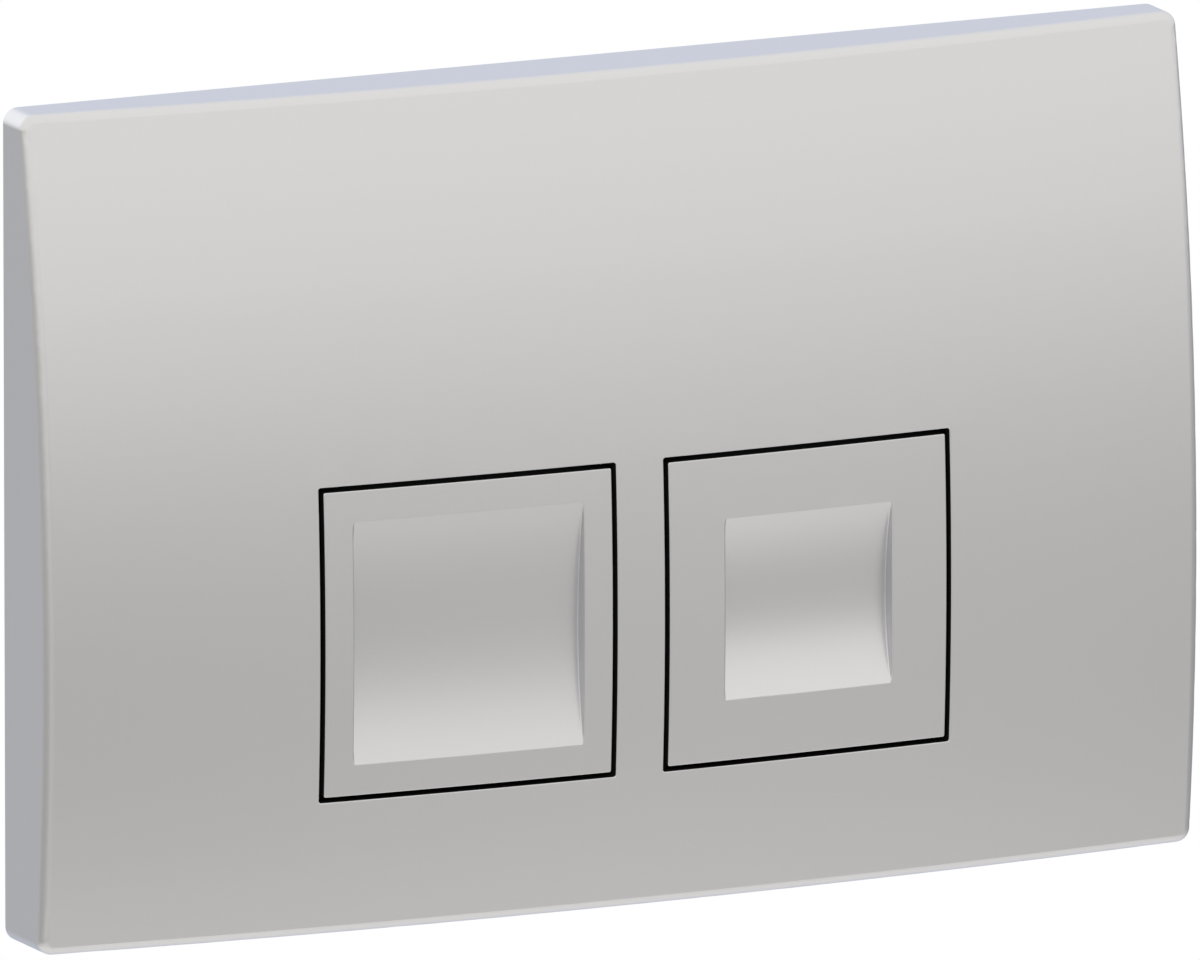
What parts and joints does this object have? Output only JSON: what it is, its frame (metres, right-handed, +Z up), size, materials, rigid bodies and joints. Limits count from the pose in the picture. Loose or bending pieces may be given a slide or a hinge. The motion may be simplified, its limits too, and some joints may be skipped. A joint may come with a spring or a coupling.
{
  "type": "flush button plate",
  "caption": "Crowned rectangular wall plate with square full-flush and half-flush push buttons, hinged at their top edges, working spring-loaded push rods through a mounting frame behind it",
  "frame": {"origin": "centre of the plate's outline, on the wall plane", "axes": "+X to the user's right, +Y into the wall, +Z up; the face looks towards -Y"},
  "size_m": [0.246, 0.0885, 0.164],
  "materials": {
    "satin_silver": "satin silver lacquer on moulded plastic, dark unlacquered inside",
    "frame_plastic": "fine-grained grey moulding",
    "pin_steel": "ground",
    "buffer_rubber": "matt",
    "rod_plastic": "natural white, drawn",
    "head_plastic": "grey moulding",
    "spring_steel": "drawn wire",
    "bush_plastic": "natural white slide plastic",
    "stud_plastic": "threaded, natural white",
    "nut_plastic": "grey moulding",
    "washer_steel": "zinc plated"
  },
  "bodies": {
    "plate": {"front_cover": "satin_silver", "mounting_frame": "frame_plastic", "full_flush_hinge_pin": "pin_steel", "half_flush_hinge_pin": "pin_steel", "full_flush_return_spring": "spring_steel", "half_flush_return_spring": "spring_steel", "full_flush_guide_bush": "bush_plastic", "half_flush_guide_bush": "bush_plastic", "left_fixing_stud": "stud_plastic", "right_fixing_stud": "stud_plastic", "left_fixing_nut": "nut_plastic", "right_fixing_nut": "nut_plastic", "left_fixing_washer": "washer_steel", "right_fixing_washer": "washer_steel"},
    "full_flush_key": {"full_flush_button": "satin_silver", "full_flush_stop_buffers": "buffer_rubber"},
    "half_flush_key": {"half_flush_button": "satin_silver", "half_flush_stop_buffers": "buffer_rubber"},
    "full_flush_rod": {"full_flush_push_rod": "rod_plastic", "full_flush_rod_head": "head_plastic"},
    "half_flush_rod": {"half_flush_push_rod": "rod_plastic", "half_flush_rod_head": "head_plastic"}
  },
  "joints": [
    {"name": "full_flush_press", "type": "hinge", "parent": "plate", "child": "full_flush_key", "pos_m": [-0.0361, -0.017, 0.01045], "axis": [1, 0, 0], "range_deg": [0, 6.5], "stiffness_Nm_per_rad": 2.5, "springref_deg": -4.58},
    {"name": "half_flush_press", "type": "hinge", "parent": "plate", "child": "half_flush_key", "pos_m": [0.0361, -0.017, 0.01045], "axis": [1, 0, 0], "range_deg": [0, 6.5], "stiffness_Nm_per_rad": 2.5, "springref_deg": -4.58},
    {"name": "full_flush_rod_travel", "type": "slide", "parent": "plate", "child": "full_flush_rod", "axis": [0, 1, 0], "range_m": [0, 0.005], "deforming": ["full_flush_return_spring"]},
    {"name": "half_flush_rod_travel", "type": "slide", "parent": "plate", "child": "half_flush_rod", "axis": [0, 1, 0], "range_m": [0, 0.005], "deforming": ["half_flush_return_spring"]}
  ],
  "couplings": [
    {"joint": "full_flush_rod_travel", "follows": "full_flush_press", "m_per_rad": 0.04045},
    {"joint": "half_flush_rod_travel", "follows": "half_flush_press", "m_per_rad": 0.04045}
  ]
}
